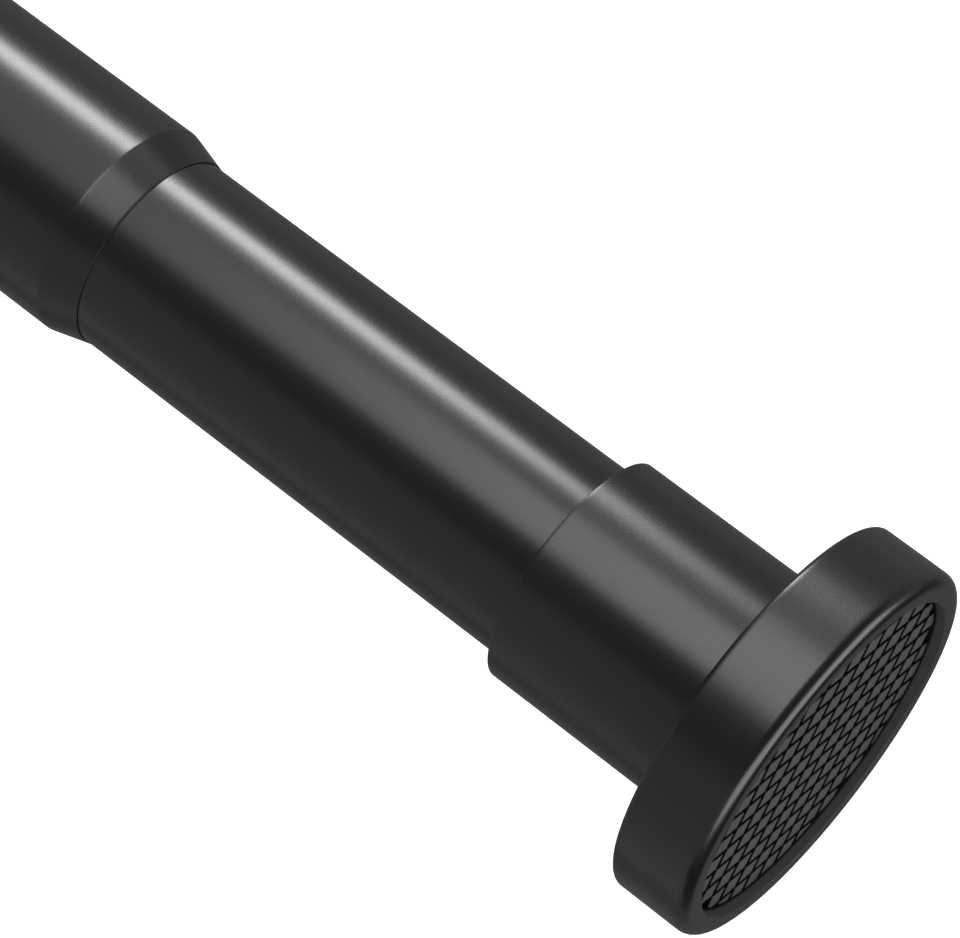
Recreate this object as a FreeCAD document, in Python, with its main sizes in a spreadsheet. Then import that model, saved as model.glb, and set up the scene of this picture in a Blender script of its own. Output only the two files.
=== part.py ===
import FreeCAD, Part
import Sketcher
import math
import os

# Spring tension rod: two telescoping tubes between padded end caps, with a spring-loaded spindle inside.
# Millimetres. The rod lies along +X, its fixed wall face is on x = 0 and the axis is the X axis.

doc = FreeCAD.newDocument("TensionRod")
dims = doc.addObject("Spreadsheet::Sheet", "Dims")

# Driving sizes

driving = {
    # tubes
    "outer_dia": 28.0,
    "outer_wall": 1.0,
    "outer_length": 392.8,
    "inner_dia": 25.0,
    "inner_wall": 1.0,
    "exposed_length": 63.1,
    "neck_length": 4.85,
    "neck_bore_length": 3.0,
    "neck_lip": 0.1,
    "tube_slip": 0.1,
    # end caps
    "flange_dia": 48.2,
    "flange_thick": 9.75,
    "rim_round": 1.4,
    "back_edge": 0.5,
    "collar_wall": 2.0,
    "mouth_edge": 0.3,
    "cap_depth": 35.6,
    "tube_seat": 8.5,
    "recess_dia": 41.8,
    "recess_depth": 3.5,
    "lip_edge": 0.25,
    "fit_gap": 0.05,
    # grip pads
    "pad_gap": 0.15,
    "pad_base": 1.6,
    "tile_height": 0.6,
    "tile_side": 2.7,
    "tile_pitch": 3.19,
    "row_pitch": 3.19,
    "row_slant": -22.0,
    "rank_slant": -119.8,
    "tile_slant": -25.3,
    "tile_corner": 92.0,
    "pattern_margin": 0.15,
    "pattern_shift": 0.82,
    "shift_slant": -50.5,
    # cap screws
    "screw_dia": 4.0,
    "screw_length": 15.0,
    "screw_head_dia": 7.6,
    "screw_head_height": 2.2,
    "screw_gap": 0.15,
    "well_depth": 2.6,
    # end plugs and the spring's anchor
    "pilot_depth": 13.0,
    "anchor_length": 26.0,
    "spigot_dia": 15.0,
    "spigot_length": 5.0,
    "plug_length": 18.0,
    "plug_wall": 1.6,
    "plug_face": 3.0,
    "boss_dia": 9.2,
    "rib_thick": 1.4,
    "rib_length": 12.0,
    "rib_count": 4.0,
    "bite": 0.5,
    # spring and its guide rod
    "spring_length": 50.0,
    "spring_dia": 20.2,
    "wire_dia": 2.2,
    "open_turns": 8.0,
    "turn_gap": 0.15,
    "runs_per_turn": 16.0,
    "spring_travel": 20.0,
    "rod_side": 7.0,
    "rod_seat_depth": 11.0,
    "stub_dia": 5.0,
    "stub_spare": 1.0,
    "rod_washer_dia": 11.6,
    "rod_washer_thick": 1.5,
    "rod_nut_across": 8.0,
    "rod_nut_height": 4.0,
    "stop_gap": 0.2,
    # plunger and spindle
    "slide_gap": 0.3,
    "key_gap": 0.2,
    "plunger_wall": 5.0,
    "chamber_dia": 13.0,
    "collar_length": 9.0,
    "pin_dia": 3.0,
    "pin_recess": 0.25,
    "spindle_dia": 8.0,
    "spindle_chamfer": 0.8,
    "thread_gap": 0.08,
    "end_gap": 0.5,
    "stop_washer_dia": 18.0,
    "stop_washer_thick": 1.5,
    "stop_nut_height": 6.5,
    # nut plug and guide bush at the inner tube's deep end
    "reach_in": 42.0,
    "reach_out": 138.0,
    "spindle_nut_across": 13.0,
    "spindle_nut_height": 6.5,
    "nut_plug_length": 16.0,
    "lip_thick": 1.5,
    "lip_gap": 0.6,
    "neck_dia": 16.0,
    "bush_length": 6.5,
    "bush_slot": 1.5,
    "bush_chamfer": 0.5,
    "axial_gap": 0.3,
    "clip_edge": 0.8,
    "clip_thick": 0.8,
    "clip_dia": 19.6,
    "clip_groove_depth": 0.7,
    "clip_opening": 60.0,
    "rivet_dia": 2.8,
    "rivet_depth": 4.4,
}

# Places and fitting sizes that follow from the driving sizes

derived = {
    "outer_r": "outer_dia / 2",
    "outer_bore_r": "outer_r - outer_wall",
    "inner_r": "inner_dia / 2",
    "inner_bore_r": "inner_r - inner_wall",
    "neck_bore_r": "inner_r + tube_slip",
    "neck_tip_r": "neck_bore_r + neck_lip",
    "neck_start": "outer_length - neck_length",
    "neck_bore_start": "outer_length - neck_bore_length",
    "mouth_at": "tube_seat + outer_length",
    "moving_face_at": "mouth_at + exposed_length + cap_depth",
    "moving_tube_end_at": "moving_face_at - tube_seat",
    "flange_r": "flange_dia / 2",
    "recess_r": "recess_dia / 2",
    "fixed_socket_r": "outer_r + fit_gap",
    "fixed_collar_r": "outer_r + collar_wall",
    "moving_socket_r": "inner_r + fit_gap",
    "moving_collar_r": "inner_r + collar_wall",
    "screw_r": "screw_dia / 2",
    "screw_hole_r": "screw_r + screw_gap",
    "screw_head_r": "screw_head_dia / 2",
    "well_r": "screw_head_r + screw_gap * 3",
    "well_floor": "recess_depth + well_depth",
    "head_at": "well_floor - screw_head_height",
    "moving_head_at": "moving_face_at - head_at",
    "pilot_r": "screw_r + fit_gap",
    "screw_total": "screw_head_height + screw_length",
    "screw_tip_start": "screw_total - screw_r",
    "screw_tip_r": "screw_r / 2",
    "screw_dome": "screw_head_height / 3",
    "screw_dome_r": "screw_head_r * 0.7",
    "pad_r": "recess_r - pad_gap",
    "moving_pad_at": "moving_face_at - recess_depth",
    "anchor_r": "outer_bore_r - fit_gap",
    "anchor_total": "anchor_length + spigot_length",
    "anchor_face_at": "tube_seat + anchor_length",
    "rod_seat_at": "anchor_length - rod_seat_depth",
    "rod_socket_depth": "rod_seat_depth + spigot_length",
    "spigot_r": "spigot_dia / 2",
    "cross_pin_r": "pin_dia / 2",
    "cross_hole_r": "cross_pin_r + fit_gap",
    "anchor_pin_local": "anchor_length - rod_seat_depth / 2",
    "anchor_pin_at": "tube_seat + anchor_pin_local",
    "anchor_pin_length": "outer_dia - pin_recess * 2",
    "spring_mean_r": "(spring_dia - wire_dia) / 2",
    "closed_pitch": "wire_dia + turn_gap",
    "open_pitch": "(spring_length - closed_pitch * 2) / open_turns",
    "wire_r": "wire_dia / 2",
    "plunger_at": "anchor_face_at + spring_length",
    "plunger_tip_at": "plunger_at - spigot_length",
    "plunger_r": "outer_bore_r - slide_gap",
    "chamber_r": "chamber_dia / 2",
    "rod_seat_hole": "rod_side + fit_gap * 2",
    "rod_slide_hole": "rod_side + key_gap * 2",
    "chamber_start": "spigot_length + plunger_wall",
    "rod_length": "rod_seat_depth + spring_length + plunger_wall + stop_gap",
    "stub_length": "rod_washer_thick + rod_nut_height + stub_spare",
    "chamber_length": "spring_travel + stop_gap + stub_length + end_gap",
    "collar_start": "chamber_start + chamber_length",
    "plunger_length": "collar_start + collar_length",
    "plunger_pin_local": "collar_start + collar_length / 2",
    "rod_start_at": "tube_seat + rod_seat_at",
    "rod_pin_local": "rod_seat_depth / 2",
    "washer_at": "rod_start_at + rod_length",
    "rod_nut_at": "washer_at + rod_washer_thick",
    "stub_r": "stub_dia / 2",
    "stub_hole_r": "stub_r + fit_gap",
    "rod_washer_r": "rod_washer_dia / 2",
    "rod_nut_corner_r": "rod_nut_across / sqrt(3)",
    "collar_at": "plunger_tip_at + collar_start",
    "collar_r": "chamber_r - fit_gap",
    "collar_pin_local": "collar_length / 2",
    "spindle_pin_at": "collar_at + collar_pin_local",
    "spindle_pin_length": "plunger_r * 2 - pin_recess * 2",
    "spindle_r": "spindle_dia / 2",
    "spindle_tip_r": "spindle_r - spindle_chamfer",
    "spindle_hole_r": "spindle_r + fit_gap",
    "plunger_end_at": "collar_at + collar_length",
    "bush_stack": "clip_edge + clip_thick + axial_gap * 3 + bush_length + lip_thick",
    "nut_plug_at": "plunger_end_at + end_gap + reach_in",
    "inner_end_at": "nut_plug_at + bush_stack",
    "inner_length": "moving_tube_end_at - inner_end_at",
    "nut_plug_r": "inner_bore_r - fit_gap",
    "nut_plug_total": "bush_stack + nut_plug_length",
    "nut_bore_r": "spindle_r + thread_gap",
    "plug_bore_r": "spindle_r + slide_gap",
    "nut_local": "bush_stack + (nut_plug_length - spindle_nut_height) / 2",
    "nut_pocket_at": "nut_local - fit_gap",
    "nut_pocket_length": "spindle_nut_height + fit_gap * 2",
    "spindle_nut_at": "nut_plug_at + nut_local",
    "spindle_nut_corner_r": "spindle_nut_across / sqrt(3)",
    "nut_pocket_corner_r": "spindle_nut_corner_r + fit_gap",
    "neck_r": "neck_dia / 2",
    "groove_r": "neck_r - clip_groove_depth",
    "groove_end": "clip_edge + clip_thick + axial_gap",
    "lip_at": "bush_stack - lip_thick",
    "lip_r": "outer_bore_r - lip_gap",
    "clip_at": "nut_plug_at + clip_edge + axial_gap / 2",
    "clip_bore_r": "groove_r + fit_gap",
    "clip_r": "clip_dia / 2",
    "bush_at": "nut_plug_at + groove_end + axial_gap",
    "bush_bore_r": "neck_r + thread_gap",
    "bush_r": "outer_bore_r - slide_gap",
    "bush_edge_r": "bush_r - bush_chamfer",
    "bush_edge_end": "bush_length - bush_chamfer",
    "rivet_local": "nut_plug_length / 3",
    "rivet_at": "inner_end_at + rivet_local",
    "rivet_hole_local": "bush_stack + rivet_local",
    "rivet_r": "rivet_dia / 2",
    "rivet_hole_r": "rivet_r + fit_gap",
    "rivet_floor_r": "inner_r - rivet_depth",
    "rivet_length": "rivet_depth - pin_recess",
    "stop_washer_at": "inner_end_at + nut_plug_length + reach_out + end_gap",
    "stop_nut_at": "stop_washer_at + stop_washer_thick",
    "spindle_length": "stop_nut_at + stop_nut_height - collar_at",
    "spindle_chamfer_end": "spindle_length - spindle_chamfer",
    "stop_washer_r": "stop_washer_dia / 2",
    "end_plug_r": "inner_bore_r - fit_gap",
    "end_plug_bore_r": "end_plug_r - plug_wall",
    "boss_r": "boss_dia / 2",
    "boss_end": "plug_length - plug_face",
    "rib_from_r": "boss_r - bite",
    "rib_to_r": "end_plug_bore_r + bite",
    "rib_from": "plug_face - bite",
}


def fill_sheet():
    cells = {}
    for alias, value in driving.items():
        cells[alias] = str(value)
    for alias, formula in derived.items():
        cells[alias] = "=" + formula
    for row, alias in enumerate(cells, start=1):
        dims.set("A" + str(row), alias)
        dims.setAlias("B" + str(row), alias)
    for row, content in enumerate(cells.values(), start=1):
        dims.set("B" + str(row), content)
    doc.recompute()


def size(alias):
    return float(getattr(dims, alias))


def new_body(label):
    body = doc.addObject("PartDesign::Body", label)
    body.Label = label
    return body


def new_sketch(body, role, name):
    sketch = body.newObject("Sketcher::SketchObject", name)
    plane = [feature for feature in body.Origin.OriginFeatures if feature.Role == role][0]
    sketch.AttachmentSupport = [(plane, "")]
    sketch.MapMode = "FlatFace"
    return sketch


def bind(sketch, constraint, alias):
    index = sketch.addConstraint(constraint)
    sketch.setExpression("Constraints[" + str(index) + "]", "Dims." + alias)


def place(feature, at=None, turn=None):
    # at is the sheet's cell for the x position, and turn a rotation about the piece's own origin
    if turn is not None:
        feature.Placement = FreeCAD.Placement(FreeCAD.Vector(0, 0, 0), turn)
    if at is not None:
        feature.setExpression("Placement.Base.x", "Dims." + at)
    return feature


# Turned pieces: a closed outline of (along, radius) cells, where None lies on the axis or at x = 0

def turned(label, outline):
    body = new_body(label)
    sketch = new_sketch(body, "XZ_Plane", label + "_outline")
    points = []
    for along, radius in outline:
        x = size(along) if along else 0.0
        r = size(radius) if radius else 0.0
        points.append(FreeCAD.Vector(x, r, 0))
    count = len(points)
    for i in range(count):
        sketch.addGeometry(Part.LineSegment(points[i], points[(i + 1) % count]))
    for i in range(count):
        sketch.addConstraint(Sketcher.Constraint("Coincident", i, 2, (i + 1) % count, 1))
    for i, (along, radius) in enumerate(outline):
        if along:
            bind(sketch, Sketcher.Constraint("DistanceX", -1, 1, i, 1, points[i].x), along)
        else:
            sketch.addConstraint(Sketcher.Constraint("PointOnObject", i, 1, -2))
        if radius:
            bind(sketch, Sketcher.Constraint("DistanceY", -1, 1, i, 1, points[i].y), radius)
        else:
            sketch.addConstraint(Sketcher.Constraint("PointOnObject", i, 1, -1))
    turning = body.newObject("PartDesign::Revolution", label + "_turning")
    turning.Profile = sketch
    turning.ReferenceAxis = (sketch, ["H_Axis"])
    turning.Angle = 360
    doc.recompute()
    return body


def ring_edges(shape, along, radius):
    # the full circles of this radius at this station of a turned piece
    names = []
    for number, edge in enumerate(shape.Edges, start=1):
        curve = edge.Curve
        if not isinstance(curve, Part.Circle):
            continue
        if abs(curve.Radius - radius) < 1e-4 and abs(curve.Center.x - along) < 1e-4:
            names.append("Edge" + str(number))
    return names


def dressed(body, kind, along, radius, alias, name):
    # kind is Fillet, with a Radius, or Chamfer, with a Size
    base = body.Tip
    feature = body.newObject("PartDesign::" + kind, name)
    feature.Base = (base, ring_edges(base.Shape, along, radius))
    feature.setExpression("Radius" if kind == "Fillet" else "Size", "Dims." + alias)
    doc.recompute()


def cross_hole(body, at, radius, name):
    # a round hole straight through, along Y, at a station of the piece
    sketch = new_sketch(body, "XZ_Plane", name + "_circle")
    centre = FreeCAD.Vector(size(at), 0, 0)
    sketch.addGeometry(Part.Circle(centre, FreeCAD.Vector(0, 0, 1), size(radius)))
    bind(sketch, Sketcher.Constraint("DistanceX", -1, 1, 0, 3, centre.x), at)
    sketch.addConstraint(Sketcher.Constraint("PointOnObject", 0, 3, -1))
    bind(sketch, Sketcher.Constraint("Radius", 0, size(radius)), radius)
    hole = body.newObject("PartDesign::Pocket", name)
    hole.Profile = sketch
    hole.Type = "ThroughAll"
    hole.SideType = "Symmetric"
    doc.recompute()


def square_sketch(body, side, name, offset=None):
    # a square centred on the rod's axis, on the YZ plane moved along +X by offset
    sketch = new_sketch(body, "YZ_Plane", name)
    half = size(side) / 2
    corners = [(-half, -half), (half, -half), (half, half), (-half, half)]
    points = [FreeCAD.Vector(y, z, 0) for y, z in corners]
    for i in range(4):
        sketch.addGeometry(Part.LineSegment(points[i], points[(i + 1) % 4]))
    for i in range(4):
        sketch.addConstraint(Sketcher.Constraint("Coincident", i, 2, (i + 1) % 4, 1))
    for i in (0, 2):
        sketch.addConstraint(Sketcher.Constraint("Horizontal", i))
        sketch.addConstraint(Sketcher.Constraint("Vertical", i + 1))
    sketch.addConstraint(Sketcher.Constraint("Symmetric", 0, 1, 2, 1, -1, 1))
    bind(sketch, Sketcher.Constraint("DistanceX", 0, 1, 0, 2, size(side)), side)
    bind(sketch, Sketcher.Constraint("DistanceY", 1, 1, 1, 2, size(side)), side)
    if offset:
        sketch.setExpression("AttachmentOffset.Base.z", "Dims." + offset)
    return sketch


def square_pocket(body, side, depth, name, offset=None, forward=False):
    # cut from the sketch towards -X, or towards +X when forward
    pocket = body.newObject("PartDesign::Pocket", name)
    pocket.Profile = square_sketch(body, side, name + "_square", offset)
    pocket.Type = "Length"
    pocket.Reversed = forward
    pocket.setExpression("Length", "Dims." + depth)
    doc.recompute()


# Primitives whose own axis is turned on to the rod's axis, or on to Y

along_x = FreeCAD.Rotation(FreeCAD.Vector(0, 1, 0), 90)
along_y = FreeCAD.Rotation(FreeCAD.Vector(1, 0, 0), -90)
about_z = FreeCAD.Rotation(FreeCAD.Vector(0, 0, 1), 180)


def cylinder(name, radius, height):
    feature = doc.addObject("Part::Cylinder", name)
    feature.setExpression("Radius", "Dims." + radius)
    feature.setExpression("Height", "Dims." + height)
    return feature


def hexagon(name, corner, height):
    feature = doc.addObject("Part::Prism", name)
    feature.Polygon = 6
    feature.setExpression("Circumradius", "Dims." + corner)
    feature.setExpression("Height", "Dims." + height)
    return feature


def cut(label, base, tool):
    feature = doc.addObject("Part::Cut", label)
    feature.Label = label
    feature.Base = base
    feature.Tool = tool
    doc.recompute()
    return feature


# Tubes

def outer_tube():
    body = turned("outer_tube", [
        (None, "outer_r"),
        ("neck_start", "outer_r"),
        ("outer_length", "neck_tip_r"),
        ("outer_length", "neck_bore_r"),
        ("neck_bore_start", "neck_bore_r"),
        ("neck_start", "outer_bore_r"),
        (None, "outer_bore_r"),
    ])
    cross_hole(body, "anchor_pin_local", "cross_hole_r", "anchor_pin_hole")
    return place(body, "tube_seat")


def inner_tube():
    body = turned("inner_tube", [
        (None, "inner_r"),
        ("inner_length", "inner_r"),
        ("inner_length", "inner_bore_r"),
        (None, "inner_bore_r"),
    ])
    cross_hole(body, "rivet_local", "rivet_hole_r", "rivet_holes")
    return place(body, "inner_end_at")


# End caps: a cup for the pad in front, a floor with the screw's well, and a long collar round the tube

def end_cap(label, collar, socket, at=None, turn=None):
    body = turned(label, [
        ("recess_depth", "recess_r"),
        (None, "recess_r"),
        (None, "flange_r"),
        ("flange_thick", "flange_r"),
        ("flange_thick", collar),
        ("cap_depth", collar),
        ("cap_depth", socket),
        ("tube_seat", socket),
        ("tube_seat", "screw_hole_r"),
        ("well_floor", "screw_hole_r"),
        ("well_floor", "well_r"),
        ("recess_depth", "well_r"),
    ])
    dressed(body, "Fillet", 0, size("flange_r"), "rim_round", label + "_rim")
    dressed(body, "Chamfer", size("flange_thick"), size("flange_r"), "back_edge", label + "_back")
    dressed(body, "Chamfer", size("cap_depth"), size(collar), "mouth_edge", label + "_mouth")
    dressed(body, "Chamfer", 0, size("recess_r"), "lip_edge", label + "_lip")
    return place(body, at, turn)


# Grip pads: a rubber disc with slanting rows of raised tiles on its outer face.
# The tiles' angles are in degrees, seen from outside with +Z up.

def on_face(length, angle):
    # a step across the pad's face
    turn = math.radians(angle)
    return FreeCAD.Vector(0, length * math.cos(turn), length * math.sin(turn))


def tile_prism(centre):
    half = size("tile_side") / 2
    u = on_face(half, size("tile_slant"))
    v = on_face(half, size("tile_slant") - size("tile_corner"))
    root = centre + FreeCAD.Vector(size("pad_base") - size("tile_height") / 2, 0, 0)
    corners = [root - u - v, root + u - v, root + u + v, root - u + v]
    face = Part.Face(Part.makePolygon(corners + corners[:1]))
    return face.extrude(FreeCAD.Vector(size("tile_height") * 1.5, 0, 0))


def grip_pad(label, at, turn=None):
    # built with its back on x = 0 and its tiles towards +X
    axis = FreeCAD.Vector(1, 0, 0)
    base = Part.makeCylinder(size("pad_r"), size("pad_base"), FreeCAD.Vector(0, 0, 0), axis)
    pattern_r = size("pad_r") - size("pattern_margin")
    along_row = on_face(size("tile_pitch"), size("row_slant"))
    next_row = on_face(size("row_pitch"), size("rank_slant"))
    first = on_face(size("pattern_shift"), size("shift_slant"))
    reach = int(pattern_r / size("row_pitch")) + 3
    tiles = []
    for i in range(-reach, reach + 1):
        for j in range(-reach, reach + 1):
            centre = first + along_row * i + next_row * j
            if centre.Length < pattern_r + size("tile_side") / 4:
                tiles.append(tile_prism(centre))
    height = size("pad_base") + size("tile_height")
    limit = Part.makeCylinder(pattern_r, height, FreeCAD.Vector(0, 0, 0), axis)
    tiles = Part.makeCompound(tiles).common(limit)
    pad = doc.addObject("Part::Feature", label)
    pad.Label = label
    pad.Shape = base.fuse(tiles.Solids).removeSplitter()
    return place(pad, at, turn)


# Cap screws: a domed head, a shank and a blunt tip

def cap_screw(label, at, turn=None):
    body = turned(label, [
        (None, None),
        (None, "screw_dome_r"),
        ("screw_dome", "screw_head_r"),
        ("screw_head_height", "screw_head_r"),
        ("screw_head_height", "screw_r"),
        ("screw_tip_start", "screw_r"),
        ("screw_total", "screw_tip_r"),
        ("screw_total", None),
    ])
    return place(body, at, turn)


# Anchor plug: fills the outer tube's end, takes the cap screw, the guide rod and the spring's thrust

def anchor_plug():
    body = turned("anchor_plug", [
        (None, "pilot_r"),
        (None, "anchor_r"),
        ("anchor_length", "anchor_r"),
        ("anchor_length", "spigot_r"),
        ("anchor_total", "spigot_r"),
        ("anchor_total", None),
        ("pilot_depth", None),
        ("pilot_depth", "pilot_r"),
    ])
    square_pocket(body, "rod_seat_hole", "rod_socket_depth", "rod_socket", "anchor_total")
    cross_hole(body, "anchor_pin_local", "cross_hole_r", "anchor_pin_bore")
    return place(body, "tube_seat")


def guide_rod():
    body = new_body("guide_rod")
    bar = body.newObject("PartDesign::Pad", "guide_bar")
    bar.Profile = square_sketch(body, "rod_side", "guide_bar_square")
    bar.setExpression("Length", "Dims.rod_length")
    doc.recompute()
    circle = new_sketch(body, "YZ_Plane", "stub_circle")
    circle.setExpression("AttachmentOffset.Base.z", "Dims.rod_length")
    circle.addGeometry(Part.Circle(FreeCAD.Vector(0, 0, 0), FreeCAD.Vector(0, 0, 1), size("stub_r")))
    circle.addConstraint(Sketcher.Constraint("Coincident", 0, 3, -1, 1))
    bind(circle, Sketcher.Constraint("Radius", 0, size("stub_r")), "stub_r")
    stub = body.newObject("PartDesign::Pad", "guide_stub")
    stub.Profile = circle
    stub.setExpression("Length", "Dims.stub_length")
    doc.recompute()
    cross_hole(body, "rod_pin_local", "cross_hole_r", "rod_pin_hole")
    return place(body, "rod_start_at")


def washer(label, radius, bore, thick, at):
    body = turned(label, [
        (None, bore),
        (None, radius),
        (thick, radius),
        (thick, bore),
    ])
    return place(body, at)


def hex_nut(label, corner, bore, height, at):
    blank = hexagon(label + "_blank", corner, height)
    feature = cut(label, blank, cylinder(label + "_bore", bore, height))
    return place(feature, at, along_x)


# Compression spring: open turns between two closed end turns, which are ground flat.
# The wire runs straight between points on the helix, which keeps its faces few.

def coil_points():
    runs = int(size("runs_per_turn"))
    open_turns = int(size("open_turns"))
    pitches = [size("closed_pitch")] + [size("open_pitch")] * open_turns + [size("closed_pitch")]
    radius = size("spring_mean_r")
    points = [FreeCAD.Vector(radius, 0, 0)]
    height = 0.0
    for pitch in pitches:
        for run in range(1, runs + 1):
            turn = math.tau * run / runs
            rise = height + pitch * run / runs
            points.append(FreeCAD.Vector(radius * math.cos(turn), radius * math.sin(turn), rise))
        height += pitch
    return points


def compression_spring():
    coil = doc.addObject("Part::Polygon", "coil_path")
    coil.Nodes = coil_points()
    coil.Close = False
    wire = doc.addObject("Part::RegularPolygon", "wire_section")
    wire.Polygon = 8
    wire.setExpression("Circumradius", "Dims.wire_r")
    wire.Placement.Rotation = FreeCAD.Rotation(FreeCAD.Vector(1, 0, 0), 90)
    wire.setExpression("Placement.Base.x", "Dims.spring_mean_r")
    winding = doc.addObject("Part::Sweep", "winding")
    winding.Sections = [wire]
    winding.Spine = (coil, [])
    winding.Solid = True
    winding.Frenet = False
    winding.Transition = "Right corner"
    slab = cylinder("ground_ends", "spring_dia", "spring_length")
    doc.recompute()
    spring = doc.addObject("Part::Common", "compression_spring")
    spring.Label = "compression_spring"
    spring.Base = winding
    spring.Tool = slab
    doc.recompute()
    return place(spring, "anchor_face_at", along_x)


# Plunger: slides in the outer tube, keyed on the square rod, with a chamber for the rod's head

def plunger():
    body = turned("plunger", [
        (None, None),
        (None, "spigot_r"),
        ("spigot_length", "spigot_r"),
        ("spigot_length", "plunger_r"),
        ("plunger_length", "plunger_r"),
        ("plunger_length", "chamber_r"),
        ("chamber_start", "chamber_r"),
        ("chamber_start", None),
    ])
    square_pocket(body, "rod_slide_hole", "chamber_start", "rod_slideway", forward=True)
    cross_hole(body, "plunger_pin_local", "cross_hole_r", "plunger_pin_hole")
    return place(body, "plunger_tip_at")


def spindle_collar():
    body = turned("spindle_collar", [
        (None, "spindle_hole_r"),
        (None, "collar_r"),
        ("collar_length", "collar_r"),
        ("collar_length", "spindle_hole_r"),
    ])
    cross_hole(body, "collar_pin_local", "cross_hole_r", "collar_pin_hole")
    return place(body, "collar_at")


def threaded_spindle():
    # the thread's crest cylinder, with chamfered ends
    body = turned("threaded_spindle", [
        (None, None),
        (None, "spindle_tip_r"),
        ("spindle_chamfer", "spindle_r"),
        ("spindle_chamfer_end", "spindle_r"),
        ("spindle_length", "spindle_tip_r"),
        ("spindle_length", None),
    ])
    cross_hole(body, "collar_pin_local", "cross_hole_r", "spindle_pin_hole")
    return place(body, "collar_at")


def cross_pin(label, length, at):
    # lies along Y, centred on the rod's axis
    pin = cylinder(label, "cross_pin_r", length)
    pin.Label = label
    pin.Placement = FreeCAD.Placement(FreeCAD.Vector(0, 0, 0), along_y)
    pin.setExpression("Placement.Base.x", "Dims." + at)
    pin.setExpression("Placement.Base.y", "-Dims." + length + " / 2")
    doc.recompute()
    return pin


# Nut plug: closes the inner tube's deep end, holds the spindle nut and carries the guide bush on its neck

def side_cylinder(label, side, radius, length, along):
    # stands on the rivets' floor and points to -Y or +Y
    feature = cylinder(label, radius, length)
    feature.Label = label
    turn = FreeCAD.Rotation(FreeCAD.Vector(1, 0, 0), -90 * side)
    feature.Placement = FreeCAD.Placement(FreeCAD.Vector(0, 0, 0), turn)
    feature.setExpression("Placement.Base.x", "Dims." + along)
    feature.setExpression("Placement.Base.y", str(side) + " * Dims.rivet_floor_r")
    doc.recompute()
    return feature


def nut_plug():
    body = turned("nut_plug_blank", [
        (None, "plug_bore_r"),
        (None, "neck_r"),
        ("clip_edge", "neck_r"),
        ("clip_edge", "groove_r"),
        ("groove_end", "groove_r"),
        ("groove_end", "neck_r"),
        ("lip_at", "neck_r"),
        ("lip_at", "lip_r"),
        ("bush_stack", "lip_r"),
        ("bush_stack", "nut_plug_r"),
        ("nut_plug_total", "nut_plug_r"),
        ("nut_plug_total", "plug_bore_r"),
    ])
    pocket = hexagon("nut_pocket", "nut_pocket_corner_r", "nut_pocket_length")
    place(pocket, "nut_pocket_at", along_x)
    doc.recompute()
    plug = cut("nut_plug_pocketed", body, pocket)
    left = side_cylinder("left_rivet_hole", -1, "rivet_hole_r", "rivet_depth", "rivet_hole_local")
    right = side_cylinder("right_rivet_hole", 1, "rivet_hole_r", "rivet_depth", "rivet_hole_local")
    plug = cut("nut_plug_half_drilled", plug, left)
    return place(cut("nut_plug", plug, right), "nut_plug_at")


def plug_rivet(label, side):
    # from the plug out to just under the tube's surface
    return side_cylinder(label, side, "rivet_r", "rivet_length", "rivet_at")


def guide_bush():
    body = turned("guide_bush", [
        (None, "bush_bore_r"),
        (None, "bush_edge_r"),
        ("bush_chamfer", "bush_r"),
        ("bush_edge_end", "bush_r"),
        ("bush_length", "bush_edge_r"),
        ("bush_length", "bush_bore_r"),
    ])
    # the bush is split on its +Z side, so that it snaps over the neck
    sketch = new_sketch(body, "XY_Plane", "bush_split_strip")
    half = size("bush_slot") / 2
    far = size("bush_length")
    corners = [(0, -half), (far, -half), (far, half), (0, half)]
    points = [FreeCAD.Vector(x, y, 0) for x, y in corners]
    for i in range(4):
        sketch.addGeometry(Part.LineSegment(points[i], points[(i + 1) % 4]))
    for i in range(4):
        sketch.addConstraint(Sketcher.Constraint("Coincident", i, 2, (i + 1) % 4, 1))
    sketch.addConstraint(Sketcher.Constraint("Horizontal", 0))
    sketch.addConstraint(Sketcher.Constraint("Horizontal", 2))
    sketch.addConstraint(Sketcher.Constraint("Vertical", 1))
    sketch.addConstraint(Sketcher.Constraint("PointOnObject", 0, 1, -2))
    sketch.addConstraint(Sketcher.Constraint("Symmetric", 0, 1, 3, 1, -1))
    bind(sketch, Sketcher.Constraint("DistanceX", 0, 1, 0, 2, far), "bush_length")
    bind(sketch, Sketcher.Constraint("DistanceY", 1, 1, 1, 2, half * 2), "bush_slot")
    split = body.newObject("PartDesign::Pocket", "bush_split")
    split.Profile = sketch
    split.Type = "ThroughAll"
    split.Reversed = True
    doc.recompute()
    return place(body, "bush_at")


def bush_clip():
    body = turned("bush_clip", [
        (None, "clip_bore_r"),
        (None, "clip_r"),
        ("clip_thick", "clip_r"),
        ("clip_thick", "clip_bore_r"),
    ])
    # an open snap ring
    body.Tip.setExpression("Angle", "360 - Dims.clip_opening")
    doc.recompute()
    return place(body, "clip_at")


# Inner tube's end plug: a ribbed cup with a boss for the cap screw

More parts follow.
